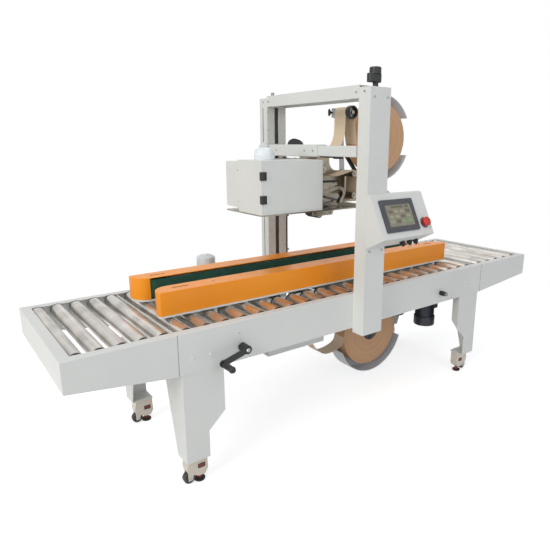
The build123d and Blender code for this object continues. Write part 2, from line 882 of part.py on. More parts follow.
def mechanism_plate():
    """The short near plate that carries the tape roller, with the cutter and its spacer bars."""
    plate = side_plate(
        [
            (1146, 905),
            (1262, 905),
            (1276, 938),
            (1284, 949),
            (1310, 950),
            (1316, 966),
            (1304, 992),
            (1288, 1004),
            (1190, 1000),
            (1176, 1022),
            (1146, 1022),
        ],
        mechanism_near - mechanism_sheet,
        mechanism_near,
    )
    plate = fillet(plate.edges().filter_by(Axis.Y), 3.5)
    for x, z in ((1290, 985), (1158, 978)):
        plate = plate + rod_y(x, z, 5.0, mechanism_near, mech_y)
    blade = side_plate(
        [(1234, 908), (1237, 908), (1252, 926), (1264, 926), (1264, 934), (1248, 934)], mechanism_near, roller_half
    )
    return plate + blade


def link_arm():
    """The curved link in front of the near plate, on two studs with nuts."""
    outer = [(1146, 1016), (1203, 1021), (1246, 1028), (1290, 1034), (1321, 1025), (1332, 1005), (1322, 978), (1305, 952)]
    inner = [(1291, 959), (1304, 978), (1315, 1000), (1309, 1014), (1288, 1020), (1250, 1014), (1204, 1006), (1150, 1001)]
    y = link_back
    upper = Spline([(x, y, z) for x, z in outer])
    lower = Spline([(x, y, z) for x, z in inner])
    face = make_face(Curve() + [upper, Line(upper @ 1, lower @ 0), lower, Line(lower @ 1, upper @ 0)])
    link = extrude(face, link_thick, dir=(0, -1, 0))
    for x, z in (link_start, link_finish):
        link = link + rod_y(x, z, 4.0, y - link_thick - 4, mechanism_near - mechanism_sheet)
        link = link + rod_y(x, z, 7.0, y - link_thick - 5, y - link_thick)
    return link


def release_bars():
    """The round bar and the flat bar that stand out of the housing over the link."""
    y = link_back
    bar = Pos((head_right + 1286) / 2, y, 1058) * Rot(0, 90, 0) * Cylinder(3.5, 1286 - head_right)
    flat = block((head_right, y - 2, 1038), (1283, y + 2, 1047))
    brace = block((1270, y - 2, 1038), (1280, y + 2, 1058))
    return bar + flat + brace


def link_bracket():
    """The bent leg that ties the round bar and the flat bar to the link."""
    return block((1236, link_back - 3, 1022), (1244, link_back, 1040))


mechanism = mechanism_plate() + link_arm() + release_bars() + link_bracket()
save("head_arm", mechanism)


# Upper roll holder, guards, guide roller and tape

def ring_strip(x, z, radius, thickness, start, end, y_low, y_high):
    """A bent strip round a roll, between two angles."""
    outer = CenterArc((0, 0), radius + thickness, start, end - start)
    inner = CenterArc((0, 0), radius, start, end - start)
    first = Line(inner @ 0, outer @ 0)
    last = Line(inner @ 1, outer @ 1)
    face = make_face(Curve() + [outer, last, inner, first])
    face = Plane.XZ * face
    strip = extrude(face, y_high - y_low, dir=(0, 1, 0))
    return Pos(x, y_low, z) * strip


def sector_plate(x, z, radius, start, end, y_low, y_high):
    """A flat plate behind a roll, between two angles."""
    arc = CenterArc((0, 0), radius, start, end - start)
    face = make_face(Curve() + [arc, Line((0, 0), arc @ 0), Line(arc @ 1, (0, 0))])
    face = Plane.XZ * face
    plate = extrude(face, y_high - y_low, dir=(0, 1, 0))
    return Pos(x, y_low, z) * plate


hub_pin = 10.0
roll_y = tape_width / 2
guard_near = -roll_y - 2


def upper_holder():
    """Plate, post and spindle that carry the roll, with the two guard strips and the guide roller's bar."""
    back = mech_y
    x = upper_roll_x
    z = upper_roll_z
    plate = rod_y(x, z, 46.0, back, back + plate_thick)
    for start, end in ((29, 77), (-75, -24)):
        plate = plate + sector_plate(x, z, upper_guard_radius + 2, start, end, back, back + plate_thick)
        plate = plate + ring_strip(x, z, upper_guard_radius, 2.5, start, end, guard_near, back + plate_thick)
    post = side_plate(
        [
            (x - 34, z - 24),
            (x + 30, z - 40),
            (x + 106, 1085),
            (x + 106, 1010),
            (x + 170, 978),
            (x + 170, 960),
            (head_plate_right - 60, 960),
            (head_plate_right - 60, 1040),
            (x - 4, 1040),
        ],
        back + plate_thick,
        back + 2 * plate_thick,
    )
    bar = side_plate(
        [
            (guide_x - 18, guide_z - 20),
            (guide_x - 18, guide_z + 20),
            (guide_x + 14, guide_z + 20),
            (guide_x + 40, 1330),
            (guide_x + 53, 1110),
            (guide_x + 53, 1030),
            (guide_x + 23, 1030),
            (guide_x + 25, 1110),
            (guide_x + 14, 1322),
        ],
        back + plate_thick,
        back + 2 * plate_thick,
    )
    clamp = block(
        (guide_x - 20, back + 2 * plate_thick, guide_z - 21), (guide_x + 12, back + 2 * plate_thick + 12, guide_z + 22)
    )
    clamp = fillet(clamp.edges().filter_by(Axis.Y), 4.0)
    spindle = rod_y(x, z, hub_pin, -roll_y - 12, back)
    return plate + post + bar + clamp + spindle


save("upper_roll_holder", upper_holder())


def tape_roll(x, z, radius):
    """A wound roll with its core, chamfered at the winding's edges."""
    roll = rod_y(x, z, radius, -roll_y, roll_y)
    roll = chamfer(roll.edges().filter_by(GeomType.CIRCLE), 1.0)
    bore = rod_y(x, z, hub_pin + running_gap, -roll_y - 1, roll_y + 1)
    dish = rod_y(x, z, roll_hub_radius, -roll_y - 1, -roll_y + 3)
    return roll - dish - bore


save("upper_tape_roll", tape_roll(upper_roll_x, upper_roll_z, upper_roll_radius))



def strip_along(path):
    """A strip of tape swept along a path in X and Z."""
    section = Plane(origin=path @ 0, x_dir=(0, 1, 0), z_dir=path % 0) * Rectangle(tape_width, tape_thickness)
    return sweep(section, path=path)


def touch_point(x, z, reach, heading, side):
    """Where the tape meets a roller when it runs at a heading, with the roller on its left (1) or right (-1)."""
    angle = radians(heading - side * 90)
    return (x + reach * cos(angle), 0, z + reach * sin(angle))


def wrap_round(x, z, reach, heading_in, heading_out, side):
    """The arc of tape on a roller, between two headings."""
    middle_heading = (heading_in + heading_out) / 2
    points = [touch_point(x, z, reach, h, side) for h in (heading_in, middle_heading, heading_out)]
    return ThreePointArc(*points)


def run_of(heading):
    """The tape's direction at a heading."""
    return (cos(radians(heading)), 0, sin(radians(heading)))


def upper_tape():
    """Tape from the roll over the guide roller, through the head and on to the tape roller."""
    lift = tape_gap + tape_thickness / 2
    wrap = guide_radius + lift
    leave = upper_roll_radius + lift
    dx = guide_x - upper_roll_x
    dz = guide_z - upper_roll_z
    span = (dx**2 + dz**2) ** 0.5
    heading = degrees(atan2(dz, dx)) - degrees(asin((wrap + leave) / span))
    start = touch_point(upper_roll_x, upper_roll_z, leave, heading, -1)
    over = wrap_round(guide_x, guide_z, wrap, heading, 270, 1)
    rise = Line(start, over @ 0)
    turn_reach = turn_radius + lift
    turn = wrap_round(turn_x, turn_z, turn_reach, 228, 350, 1)
    fall = Spline([over @ 1, (1318, 0, 1222), turn @ 0], tangents=[(0, 0, -1), run_of(228)])
    end_wrap = wrap_round(end_x, end_z, end_radius + lift, 8, -90, -1)
    dip = Spline([turn @ 1, (1278, 0, 1080), end_wrap @ 0], tangents=[run_of(350), run_of(8)])
    applicator_reach = applicator_radius + 1.0 + lift
    low_reach = low_radius + lift
    dx = applicator_x - low_x
    dz = applicator_z - low_z
    span = (dx**2 + dz**2) ** 0.5
    last = degrees(atan2(dz, dx)) - degrees(asin((low_reach + applicator_reach) / span))
    low_wrap = wrap_round(low_x, low_z, low_reach, -90, last if last < -90 else last - 360, -1)
    down = Line(end_wrap @ 1, low_wrap @ 0)
    finish = wrap_round(applicator_x, applicator_z, applicator_reach, last, last + 60, 1)
    across_throat = Line(low_wrap @ 1, finish @ 0)
    return strip_along(Curve() + [rise, over, fall, turn, dip, end_wrap, down, low_wrap, across_throat, finish])


save("upper_tape", upper_tape())

head_bottle = rod_z(909.0, -20.0, 43.0, head_top, head_top + 51)
head_bottle = fillet(head_bottle.edges().group_by(Axis.Z)[-1], 30.0)
save("head_water_bottle", head_bottle)


# Lower tape head in the bay between the short rollers

lower_bottom = 345.0


def lower_head():
    """A tray between two side plates that also carry the short rollers."""
    tray_right = head_bay_right - 62.0
    tray = block((head_bay_left, -head_side_y, lower_bottom), (tray_right, head_side_y, lower_bottom + wall))
    sides = []
    for s in (-1, 1):
        inner = s * (head_side_y - 4)
        outer = s * head_side_y
        low, high = sorted((inner, outer))
        sides.append(
            side_plate(
                [
                    (head_bay_left, lower_bottom),
                    (head_bay_right, lower_bottom),
                    (head_bay_right, table_height - 8),
                    (head_bay_left, table_height - 8),
                ],
                low,
                high,
            )
        )
    front = block(
        (head_bay_left, -head_side_y, lower_bottom), (head_bay_left + wall, head_side_y, table_height - 60)
    )
    return tray + sides[0] + sides[1] + front


save("lower_tape_head", lower_head())


def lower_rollers():
    """The rollers that bring the lower tape up to the carton."""
    places = [(1072.0, 574.0, 32.0), (950.0, 566.0, 20.0), (900.0, 480.0, 18.0), (1020.0, 440.0, 18.0)]
    rollers = []
    for x, z, radius in places:
        drum = rod_y(x, z, radius, -roller_half, roller_half)
        pin = rod_y(x, z, 6.0, -head_side_y + 4, head_side_y - 4)
        rollers.append(drum + pin)
    return rollers


save("lower_head_rollers", *lower_rollers())


def lower_holder():
    """Back plate, hanger and spindle of the lower roll, with the guard strip under it."""
    back = mech_y
    x = lower_roll_x
    z = lower_roll_z
    guard_x = x + lower_guard_shift_x
    guard_z = z + lower_guard_shift_z
    dish = sector_plate(guard_x, guard_z, lower_guard_radius + 2, -160, -19, back, back + plate_thick)
    strip = ring_strip(guard_x, guard_z, lower_guard_radius, 2.5, -160, -19, guard_near, back + plate_thick)
    hanger = side_plate(
        [
            (x - 50, z - 60),
            (x + 50, z - 60),
            (x + 16, cross_top - cross_height - 6),
            (x + 16, cross_top - sheet),
            (x - 16, cross_top - sheet),
            (x - 16, cross_top - cross_height - 6),
        ],
        back,
        back + plate_thick,
    )
    spindle = rod_y(x, z, hub_pin, -roll_y - 12, back)
    return dish + strip + hanger + spindle


save("lower_roll_holder", lower_holder())
save("lower_tape_roll", tape_roll(lower_roll_x, lower_roll_z, lower_roll_radius))


def lower_tape():
    """Tape that hangs in a loop between the roll and the lower head."""
    leave = lower_roll_radius + tape_gap + tape_thickness / 2
    start = (lower_roll_x - leave, 0, lower_roll_z)
    loop = [(1322, 0, 222), (1244, 0, 214), (1163, 0, 282), (1098, 0, 380)]
    end = (1043, 0, 440)
    return strip_along(Spline([start] + loop + [end], tangents=[(0, 0, -1), (-0.6, 0, 1)]))


save("lower_tape", lower_tape())


# Water bottle behind the far panel

def bottle_body():
    """The bottle and the bracket that holds it."""
    y = half_bed + bottle_gap + bottle_radius
    radius = bottle_radius - bottle_play
    body = rod_z(bottle_x, y, radius, bottle_low, bottle_shoulder)
    body = fillet(body.edges().group_by(Axis.Z)[-1], 24.0)
    neck = rod_z(bottle_x, y, 14.0, bottle_shoulder - 4, bottle_shoulder + 32)
    half = bottle_radius + 2
    low = bottle_low - sheet
    shelf = block((bottle_x - half, half_bed, low), (bottle_x + half, y + bottle_radius, bottle_low))
    back = block((bottle_x - half, half_bed, low), (bottle_x + half, half_bed + sheet, bottle_low + 110))
    lip = block(
        (bottle_x - half, y + bottle_radius - bottle_play + 0.3, low),
        (bottle_x + half, y + bottle_radius, bottle_low + 26),
    )
    return body + neck, shelf + back + lip


bottle, bracket = bottle_body()
save("lower_water_bottle", bottle)
save("far_side_panel", across(main_rail) + bracket)


# Control box on the near column

box_low_back = 809.0
box_low_front = 859.0
box_high = 1028.0
box_high_reach = 16.0
column_front = -half_bed - column_depth
box_points = [
    (column_front, box_low_back),
    (column_front - box_reach, box_low_front),
    (column_front - box_high_reach, box_high),
    (column_front, box_high + 2),
]
control_box = cross_plate(box_points, column_x - 1, column_x - 1 + box_width)
control_box = fillet(control_box.edges().filter_by(Axis.X).sort_by(Axis.Y)[:2], 3.0)
cheek = cross_plate(
    [
        (column_front - 2, box_low_back + 3),
        (column_front - 2, box_high),
        (-half_bed - 4, box_high - 30),
        (-half_bed - 4, 950),
    ],
    column_x - 3,
    column_x,
)
face_low = (column_front - box_reach, box_low_front)
face_high = (column_front - box_high_reach, box_high)
face_length = ((face_high[0] - face_low[0]) ** 2 + (face_high[1] - face_low[1]) ** 2) ** 0.5
face_tilt = degrees(atan2(face_high[0] - face_low[0], face_high[1] - face_low[1]))
face_plane = Plane(
    origin=(column_x - 1, face_low[0], face_low[1]),
    x_dir=(1, 0, 0),
    z_dir=(0, -cos(radians(face_tilt)), sin(radians(face_tilt))),
)
stop_x = 262.0
stop_v = 52.0
stop_hole = 11.0
stop_pocket = face_plane * Pos(stop_x, stop_v, -12) * Cylinder(stop_hole + 0.3, 26)
save("control_box", control_box + cheek - stop_pocket)

screen_left = 30.0
screen_width = 192.0
screen_low = 26.0
screen_height = 136.0
bezel_thick = 6.0
bezel = face_plane * Pos(screen_left + screen_width / 2, screen_low + screen_height / 2, bezel_thick / 2) * Box(
    screen_width, screen_height, bezel_thick
)
bezel = fillet(bezel.edges().filter_by(Axis(face_plane.origin, face_plane.z_dir)), 5.0)
glass_pocket = face_plane * Pos(screen_left + screen_width / 2 + 2, screen_low + screen_height / 2, bezel_thick) * Box(
    148, 92, 3
)
save("touch_screen", bezel - glass_pocket)

stop_button = face_plane * Pos(stop_x, stop_v, 15) * Cylinder(20, 14)
stop_button = fillet(stop_button.edges().filter_by(GeomType.CIRCLE), 5.0)
stop_stem = face_plane * Pos(stop_x, stop_v, 0) * Cylinder(stop_hole, 20)
save("stop_button", stop_button + stop_stem)
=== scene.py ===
import math

import bpy
import numpy as np
from mathutils import Matrix, Vector


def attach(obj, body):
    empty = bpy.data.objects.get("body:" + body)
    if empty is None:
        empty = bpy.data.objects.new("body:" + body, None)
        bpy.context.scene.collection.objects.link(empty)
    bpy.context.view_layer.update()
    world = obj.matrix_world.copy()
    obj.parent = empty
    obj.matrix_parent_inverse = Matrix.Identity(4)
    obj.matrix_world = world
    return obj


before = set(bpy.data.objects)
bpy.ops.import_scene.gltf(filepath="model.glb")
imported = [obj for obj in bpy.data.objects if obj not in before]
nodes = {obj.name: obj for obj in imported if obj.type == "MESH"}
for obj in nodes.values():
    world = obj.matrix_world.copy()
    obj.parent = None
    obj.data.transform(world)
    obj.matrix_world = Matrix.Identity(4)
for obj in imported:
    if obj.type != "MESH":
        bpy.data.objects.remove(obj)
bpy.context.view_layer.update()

lineX = -1.255  # infeed end of the machine in the row frame
lineY = 0.034  # belt line in the row frame


def place(x, y, z):  # a point given in millimetres from the infeed end and the belt line
    return np.array([x / 1000 + lineX, y / 1000 + lineY, z / 1000])


# Camera, floor and light

cameraSet = {"at": (-1.5245, -1.7878, 1.2186), "turn": 38.04, "down": 13.97, "roll": 0.33, "lens": 33.19}
cameraSet.update({"shiftX": -0.0596, "shiftY": -0.0077})


def makeCamera():
    turn = math.radians(cameraSet["turn"])
    down = math.radians(cameraSet["down"])
    ahead = Vector((math.sin(turn) * math.cos(down), math.cos(turn) * math.cos(down), -math.sin(down)))
    camera = bpy.data.objects.new("camera", bpy.data.cameras.new("camera"))
    camera.data.sensor_width = 36.0
    camera.data.lens = cameraSet["lens"]
    camera.data.shift_x = cameraSet["shiftX"]
    camera.data.shift_y = cameraSet["shiftY"]
    rolled = ahead.to_track_quat("-Z", "Y").to_matrix().to_4x4()
    rolled = rolled @ Matrix.Rotation(math.radians(cameraSet["roll"]), 4, "Z")
    camera.matrix_world = Matrix.Translation(cameraSet["at"]) @ rolled
    bpy.context.scene.collection.objects.link(camera)
    bpy.context.scene.camera = camera


def hexColor(text):  # sRGB hex to linear, channel by channel
    values = [int(text[i:i + 2], 16) / 255 for i in (1, 3, 5)]
    return [v / 12.92 if v <= 0.04045 else ((v + 0.055) / 1.055) ** 2.4 for v in values] + [1.0]


def addNode(tree, kind, links=(), **settings):  # settings are properties, or sockets as in_0 or in_Name
    node = tree.nodes.new(kind)
    for key, value in settings.items():
        if key.startswith("in_"):
            name = key[3:]
            socket = node.inputs[int(name)] if name.isdigit() else node.inputs[name]
            socket.default_value = value
        else:
            setattr(node, key, value)
    for source, socket in links:
        tree.links.new(source, node.inputs[socket])
    return node


def makeFloor():
    scene = bpy.context.scene
    scene.view_settings.view_transform = "Standard"
    world = bpy.data.worlds.new("studio")
    scene.world = world
    world.use_nodes = True
    tree = world.node_tree
    tree.nodes.clear()
    rays = addNode(tree, "ShaderNodeLightPath")
    seen = addNode(tree, "ShaderNodeMath", [(rays.outputs["Is Camera Ray"], 0),
                                            (rays.outputs["Is Glossy Ray"], 1)],
                   operation="MAXIMUM")
    seen = addNode(tree, "ShaderNodeMath", [(seen.outputs[0], 0), (rays.outputs["Is Transmission Ray"], 1)],
                   operation="MAXIMUM")
    soft = addNode(tree, "ShaderNodeBackground", in_Color=hexColor("#F4F6FA"), in_Strength=0.42)
    white = addNode(tree, "ShaderNodeBackground", in_Color=(1, 1, 1, 1), in_Strength=1.0)
    mix = addNode(tree, "ShaderNodeMixShader",
                  [(seen.outputs[0], 0), (soft.outputs[0], 1), (white.outputs[0], 2)])
    addNode(tree, "ShaderNodeOutputWorld", [(mix.outputs[0], 0)])

    half = 9.0
    mesh = bpy.data.meshes.new("floor")
    mesh.from_pydata([(-half, -half, 0), (half, -half, 0), (half, half, 0), (-half, half, 0)], [],
                     [(0, 1, 2, 3)])
    floor = bpy.data.objects.new("floor", mesh)
    scene.collection.objects.link(floor)
    material = bpy.data.materials.new("paper_floor")
    material.use_nodes = True
    tree = material.node_tree
    tree.nodes.clear()
    rays = addNode(tree, "ShaderNodeLightPath")
    seen = addNode(tree, "ShaderNodeMath", [(rays.outputs["Is Camera Ray"], 0),
                                            (rays.outputs["Is Glossy Ray"], 1)],
                   operation="MAXIMUM")
    seen = addNode(tree, "ShaderNodeMath", [(seen.outputs[0], 0), (rays.outputs["Is Transmission Ray"], 1)],
                   operation="MAXIMUM")
    paper = addNode(tree, "ShaderNodeBsdfDiffuse", in_Color=hexColor("#E6E6E6"))
    lift = addNode(tree, "ShaderNodeEmission", in_Color=(1, 1, 1, 1), in_Strength=0.62)
    both = addNode(tree, "ShaderNodeAddShader", [(paper.outputs[0], 0), (lift.outputs[0], 1)])
    away = addNode(tree, "ShaderNodeVectorMath", [(addNode(tree, "ShaderNodeTexCoord").outputs["Object"], 0)],
                   operation="LENGTH")
    fade = addNode(tree, "ShaderNodeMapRange", [(away.outputs["Value"], 0)], in_1=1.6, in_2=3.0)
    bare = addNode(tree, "ShaderNodeEmission", in_Color=(1, 1, 1, 1), in_Strength=1.0)
    faded = addNode(tree, "ShaderNodeMixShader",
                    [(fade.outputs[0], 0), (both.outputs[0], 1), (bare.outputs[0], 2)])
    mix = addNode(tree, "ShaderNodeMixShader", [(seen.outputs[0], 0), (paper.outputs[0], 1),
                                                (faded.outputs[0], 2)])
    addNode(tree, "ShaderNodeOutputMaterial", [(mix.outputs[0], 0)])
    mesh.materials.append(material)


def areaLamp(name, at, size, power, color="#FFFFFF"):
    lamp = bpy.data.lights.new(name, "AREA")
    lamp.shape = "SQUARE"
    lamp.size = size
    lamp.energy = power
    lamp.color = hexColor(color)[:3]
    lampObject = bpy.data.objects.new(name, lamp)
    aim = Vector((0, 0, 0.7)) - Vector(at)
    lampObject.matrix_world = Matrix.Translation(at) @ aim.to_track_quat("-Z", "Y").to_matrix().to_4x4()
    bpy.context.scene.collection.objects.link(lampObject)


makeCamera()
makeFloor()
areaLamp("leftSoftbox", (-6.4, -1.8, 3.6), 3.6, 225, "#FFFDF8")
areaLamp("frontSoftbox", (-0.4, -5.6, 3.2), 3.6, 66, "#F3F7FF")
areaLamp("topSoftbox", (0.4, 0.6, 4.4), 3.0, 34)
print("camera, floor and light made")


# Materials

def newMaterial(name, **shaderSettings):
    material = bpy.data.materials.new(name)
    material.use_nodes = True
    tree = material.node_tree
    tree.nodes.clear()
    shader = addNode(tree, "ShaderNodeBsdfPrincipled")
    for key, value in shaderSettings.items():
        shader.inputs[key].default_value = value
    addNode(tree, "ShaderNodeOutputMaterial", [(shader.outputs[0], 0)])
    position = addNode(tree, "ShaderNodeTexCoord").outputs["Object"]
    return material, tree, shader, position


# Noise whose blobs are about that many metres across.
def noiseOf(tree, position, size, detail=2.0, roughness=0.5):
    noise = addNode(tree, "ShaderNodeTexNoise", [(position, "Vector")], in_Scale=1 / size, in_Detail=detail,
                    in_Roughness=roughness)
    return noise.outputs["Fac"]


def stretched(tree, position, scale):
    mapping = addNode(tree, "ShaderNodeMapping", [(position, 0)], in_Scale=scale)
    return mapping.outputs[0]


# Maps a value onto a range.
def spread(tree, value, low, high, fromLow=0.35, fromHigh=0.65):
    node = addNode(tree, "ShaderNodeMapRange", [(value, 0)], in_1=fromLow, in_2=fromHigh, in_3=low, in_4=high)
    return node.outputs[0]


def mixColors(tree, value, first, second):
    node = addNode(tree, "ShaderNodeMix", [(value, 0)], data_type="RGBA", in_6=hexColor(first),
                   in_7=hexColor(second))
    return node.outputs[2]


def bumpFrom(tree, height, strength, distance):
    node = addNode(tree, "ShaderNodeBump", [(height, "Height")], in_Strength=strength, in_Distance=distance)
    return node.outputs[0]


# Powder-coated steel: even colour, a fine orange peel about 1.5 mm across, faint handling marks.
def powderCoat(name, base, shade, rough=0.42):
    material, tree, shader, position = newMaterial(name)
    cloud = noiseOf(tree, position, 0.35, 3.0)
    tree.links.new(mixColors(tree, spread(tree, cloud, 0, 1), base, shade), shader.inputs["Base Color"])
    marks = noiseOf(tree, position, 0.05, 5.0, 0.65)
    tree.links.new(spread(tree, marks, rough - 0.05, rough + 0.08), shader.inputs["Roughness"])
    peel = noiseOf(tree, position, 0.0015, 1.0)
    tree.links.new(bumpFrom(tree, peel, 0.12, 0.0004), shader.inputs["Normal"])
    return material


# Woven-backed rubber conveyor belt: dark green with upright ribs 4 mm apart and rubbed patches.
def rubberBelt(name):
    material, tree, shader, position = newMaterial(name)
    rub = noiseOf(tree, position, 0.03, 6.0, 0.7)
    tree.links.new(mixColors(tree, spread(tree, rub, 0, 1), "#123F31", "#1D5341"),
                   shader.inputs["Base Color"])
    tree.links.new(spread(tree, rub, 0.55, 0.78), shader.inputs["Roughness"])
    wave = addNode(tree, "ShaderNodeTexWave", [(position, "Vector")], wave_type="BANDS", bands_direction="X",
                   in_Scale=1 / 0.004 / 6.283 * 2, in_Distortion=0.0)
    tree.links.new(bumpFrom(tree, wave.outputs["Fac"], 0.35, 0.0004), shader.inputs["Normal"])
    return material


# Metal with lines left by grinding or drawing, drawn as coarse as they need to show.
# With a dark second colour, the streaks and clouds are also painted reflection (rollers, head steel).
def brushedSteelAndReflection(name, base, shade, grain=(1, 60, 1), rough=0.3, fine=0.02):
    material, tree, shader, position = newMaterial(name, Metallic=1.0)
    lines = noiseOf(tree, stretched(tree, position, grain), fine, 3.0, 0.6)
    cloud = noiseOf(tree, position, 0.12, 3.0)
    both = addNode(tree, "ShaderNodeMath", [(lines, 0), (cloud, 1)], operation="ADD").outputs[0]
    tree.links.new(mixColors(tree, spread(tree, both, 0, 1, 0.7, 1.3), base, shade),
                   shader.inputs["Base Color"])
    tree.links.new(spread(tree, lines, rough - 0.07, rough + 0.1), shader.inputs["Roughness"])
    tree.links.new(bumpFrom(tree, lines, 0.12, 0.0003), shader.inputs["Normal"])
    return material


# Edge of wound kraft paper: rings round the core, drawn 1.5 mm apart because the plies are too fine to show.
def kraftWinding(name, centre):
    material, tree, shader, position = newMaterial(name, Roughness=0.82)
    shift = addNode(tree, "ShaderNodeVectorMath", [(position, 0)], operation="SUBTRACT", in_1=tuple(centre))
    flat = addNode(tree, "ShaderNodeVectorMath", [(shift.outputs[0], 0)], operation="MULTIPLY",
                   in_1=(1, 0, 1))
    radius = addNode(tree, "ShaderNodeVectorMath", [(flat.outputs[0], 0)],
                     operation="LENGTH").outputs["Value"]
    line = addNode(tree, "ShaderNodeCombineXYZ", [(radius, 0)])
    rings = noiseOf(tree, line.outputs[0], 0.003, 3.0, 0.7)
    bands = noiseOf(tree, line.outputs[0], 0.02, 2.0)
    both = addNode(tree, "ShaderNodeMath", [(rings, 0), (bands, 1)], operation="ADD").outputs[0]
    tree.links.new(mixColors(tree, spread(tree, both, 0, 1, 0.65, 1.35), "#DCB28B", "#C39873"),
                   shader.inputs["Base Color"])
    tree.links.new(bumpFrom(tree, rings, 0.3, 0.0006), shader.inputs["Normal"])
    return material


# Kraft tape: long fibres across 2 mm and a slight gloss on the gummed side.
def kraftPaper(name, base, shade):
    material, tree, shader, position = newMaterial(name)
    fibre = noiseOf(tree, stretched(tree, position, (1, 4, 1)), 0.006, 5.0, 0.7)
    tree.links.new(mixColors(tree, spread(tree, fibre, 0, 1), base, shade), shader.inputs["Base Color"])
    tree.links.new(spread(tree, fibre, 0.5, 0.7), shader.inputs["Roughness"])
    tree.links.new(bumpFrom(tree, fibre, 0.15, 0.0003), shader.inputs["Normal"])
    return material


# Moulded plastic with a spark-eroded grain about 1 mm across.
def mouldedPlastic(name, base, shade, rough=0.45, grit=0.0012):
    material, tree, shader, position = newMaterial(name)
    cloud = noiseOf(tree, position, 0.02, 3.0)
    tree.links.new(mixColors(tree, spread(tree, cloud, 0, 1), base, shade), shader.inputs["Base Color"])
    tree.links.new(spread(tree, cloud, rough - 0.06, rough + 0.08), shader.inputs["Roughness"])
    tree.links.new(bumpFrom(tree, noiseOf(tree, position, grit, 1.0), 0.15, 0.0003), shader.inputs["Normal"])
    return material


# Cast housing under dark enamel: a coarse skin about 3 mm across.
def castEnamel(name, base, shade):
    material, tree, shader, position = newMaterial(name)
    cloud = noiseOf(tree, position, 0.03, 4.0)
    tree.links.new(mixColors(tree, spread(tree, cloud, 0, 1), base, shade), shader.inputs["Base Color"])
    tree.links.new(spread(tree, cloud, 0.35, 0.55), shader.inputs["Roughness"])
    tree.links.new(bumpFrom(tree, noiseOf(tree, position, 0.003, 3.0), 0.3, 0.0005), shader.inputs["Normal"])
    return material


# Blown polythene bottle: milky, slightly see-through, waxy surface.
def milkyPlastic(name, base, shade):
    material, tree, shader, position = newMaterial(name)
    shader.inputs["Subsurface Weight"].default_value = 0.35
    shader.inputs["Subsurface Radius"].default_value = (0.01, 0.01, 0.012)
    shader.inputs["Subsurface Scale"].default_value = 1.0
    cloud = noiseOf(tree, position, 0.04, 2.0)
    tree.links.new(mixColors(tree, spread(tree, cloud, 0, 1), base, shade), shader.inputs["Base Color"])
    tree.links.new(spread(tree, cloud, 0.28, 0.4), shader.inputs["Roughness"])
    tree.links.new(bumpFrom(tree, noiseOf(tree, position, 0.012, 1.0), 0.08, 0.0006), shader.inputs["Normal"])
    return material


upperRollCentre = place(1573, 0, 1251)
lowerRollCentre = place(1548, 0, 271)
panelPaint = powderCoat("powderCoatedSteel", "#E2E3DF", "#DCDEDA")
orangePaint = powderCoat("orangePowderCoat", "#FF9D12", "#FB950E", 0.34)
beltRubber = rubberBelt("greenConveyorRubber")
# Roller tubes: the long dark streaks are partly drawing marks, partly painted reflection of dark flanks.
rollerZincAndPaintedFlanks = brushedSteelAndReflection("zincTubeAndPaintedFlanks", "#E2DED8", "#A5A19C", (1, 0.03, 1), 0.34, 0.014)
guardSheet = powderCoat("greyPaintedSheet", "#DADDE1", "#CFD3D8", 0.4)
# Head steel: dark brown clouds are painted reflection; the fine lines are grinding marks.
groundSteelAndReflection = brushedSteelAndReflection("groundStainlessAndReflection", "#B4AEA2", "#645D51", (1, 1, 40), 0.24)
threadSteel = brushedSteelAndReflection("turnedSteel", "#8F8F8E", "#6E6E6E", (1, 1, 30), 0.32)
upperPaper = kraftWinding("upperKraftWinding", upperRollCentre)
lowerPaper = kraftWinding("lowerKraftWinding", lowerRollCentre)
tapePaper = kraftPaper("gummedKraftTape", "#F0DCC1", "#DEC5A4")
blackPlastic = mouldedPlastic("blackMouldedNylon", "#17181A", "#242527")
capPlastic = mouldedPlastic("blackRollerCap", "#141416", "#1D1D20", 0.5)
motorEnamel = castEnamel("darkMotorEnamel", "#30323D", "#24252E")
ivoryPaint = powderCoat("ivoryCasterCoat", "#E2D8CB", "#D6CABB", 0.4)
wheelNylon = mouldedPlastic("darkWheelNylon", "#2E2A29", "#3B3533", 0.4)
adjusterPlastic = mouldedPlastic("redBrownAdjuster", "#7C3424", "#8D4433", 0.42)
bottlePlastic = milkyPlastic("milkyPolythene", "#EEF1F3", "#E2E8EC")
bezelPlastic = mouldedPlastic("greyBezelAbs", "#3E3F45", "#484A50", 0.4)
stopPlastic = mouldedPlastic("redStopAbs", "#D52A1E", "#C42318", 0.28)
zincBright = brushedSteelAndReflection("zincPlatedScrew", "#C2C3C2", "#A2A3A3", (1, 1, 20), 0.3)
# Black rubber, also used as painted shade in the cover slots and the caster windows.
rubberBlackAndShade = mouldedPlastic("blackRubberAndShadeFill", "#121213", "#1C1C1D", 0.62)
padGrey = mouldedPlastic("greyNylon", "#6B6D70", "#5F6164", 0.42)
lidPlastic = milkyPlastic("paleBottleLid", "#D9DCDD", "#CDD1D3")
screenLcd = mouldedPlastic("oliveLcd", "#8E8B78", "#83806D", 0.2, 0.004)
tilePale = mouldedPlastic("paleScreenField", "#A8A189", "#9C957E", 0.22)
tileDark = mouldedPlastic("darkScreenField", "#6E6351", "#655B4A", 0.22)
tileGreen = mouldedPlastic("greenScreenField", "#8AA079", "#7F956F", 0.22)
# Dark grey for the rail joints and the column seam: painted shade.
seamShadePaint = powderCoat("shadowedJoint", "#70726F", "#686A67", 0.6)

